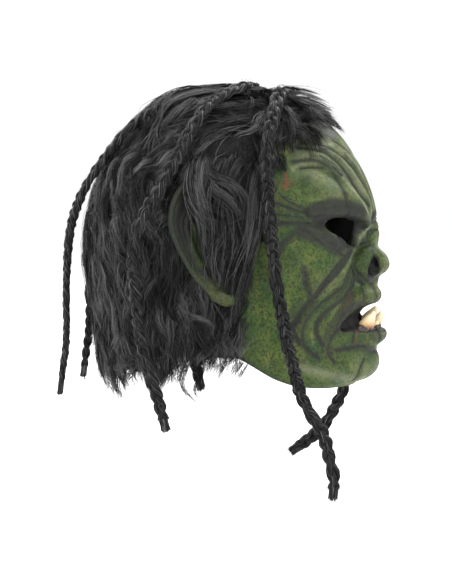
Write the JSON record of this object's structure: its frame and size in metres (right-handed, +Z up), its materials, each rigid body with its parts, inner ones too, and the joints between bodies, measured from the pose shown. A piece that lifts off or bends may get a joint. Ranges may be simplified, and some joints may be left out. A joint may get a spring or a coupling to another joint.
{
  "type": "latex mask",
  "caption": "Full-head latex monster mask with tusked lower jaw, large ears, long-pile fur wig and hanging plaited braids.",
  "frame": {"origin": "centre of the neck opening, level with the underside of the chin", "axes": "+Z up to the crown, the face looks along -Y, the wearer's right is -X"},
  "size_m": [0.228, 0.2927, 0.3577],
  "materials": {
    "latex": "cast latex, hand-painted mottled green with dark washes in the folds, satin",
    "fur": "long-pile charcoal acrylic fur",
    "gum": "painted latex, semi-gloss",
    "teeth": "ivory resin, stained brown at the roots, glossy",
    "plait": "plaited black synthetic fibre with a slight sheen"
  },
  "bodies": {
    "mask": {"latex_head": "latex", "ear_right": "latex", "ear_left": "latex", "fur_crown": "fur", "fur_fringe": "fur", "fur_side_right": "fur", "fur_side_left": "fur", "fur_back": "fur", "tooth_strip": "gum", "tusk_right": "teeth", "tusk_left": "teeth", "tooth_front_right": "teeth", "tooth_front_left": "teeth", "tooth_small_right": "teeth", "tooth_small_left": "teeth", "knot_front_right": "plait", "braid_front_right": "plait", "knot_middle_right": "plait", "braid_middle_right": "plait", "knot_back_right": "plait", "braid_back_right": "plait", "knot_front_left": "plait", "braid_front_left": "plait", "knot_middle_left": "plait", "braid_middle_left": "plait", "knot_back_left": "plait", "braid_back_left": "plait"},
    "tail_front_right": {"braid_front_right_tail": "plait", "tip_front_right": "plait"},
    "tail_middle_right": {"braid_middle_right_tail": "plait", "tip_middle_right": "plait"},
    "tail_back_right": {"braid_back_right_tail": "plait", "tip_back_right": "plait"},
    "tail_front_left": {"braid_front_left_tail": "plait", "tip_front_left": "plait"},
    "tail_middle_left": {"braid_middle_left_tail": "plait", "tip_middle_left": "plait"},
    "tail_back_left": {"braid_back_left_tail": "plait", "tip_back_left": "plait"}
  },
  "joints": [
    {"name": "swing_front_right", "type": "hinge", "parent": "mask", "child": "tail_front_right", "pos_m": [-0.097, -0.054, 0.165], "axis": [1, 0, 0], "range_deg": [-15, 15], "stiffness_Nm_per_rad": 0.05, "springref_deg": -2.22},
    {"name": "swing_middle_right", "type": "hinge", "parent": "mask", "child": "tail_middle_right", "pos_m": [-0.108, 0.056, 0.14], "axis": [1, 0, 0], "range_deg": [-18, 18], "stiffness_Nm_per_rad": 0.04, "springref_deg": -0.36},
    {"name": "swing_back_right", "type": "hinge", "parent": "mask", "child": "tail_back_right", "pos_m": [-0.052, 0.117, 0.167], "axis": [1, 0, 0], "range_deg": [-5, 25], "stiffness_Nm_per_rad": 0.04, "springref_deg": 0.7},
    {"name": "swing_front_left", "type": "hinge", "parent": "mask", "child": "tail_front_left", "pos_m": [0.094, -0.076, 0.165], "axis": [1, 0, 0], "range_deg": [-15, 15], "stiffness_Nm_per_rad": 0.05, "springref_deg": -1.87},
    {"name": "swing_middle_left", "type": "hinge", "parent": "mask", "child": "tail_middle_left", "pos_m": [0.108, 0.056, 0.14], "axis": [1, 0, 0], "range_deg": [-18, 18], "stiffness_Nm_per_rad": 0.04, "springref_deg": -0.36},
    {"name": "swing_back_left", "type": "hinge", "parent": "mask", "child": "tail_back_left", "pos_m": [0.052, 0.117, 0.167], "axis": [1, 0, 0], "range_deg": [-5, 25], "stiffness_Nm_per_rad": 0.04, "springref_deg": 0.7}
  ]
}
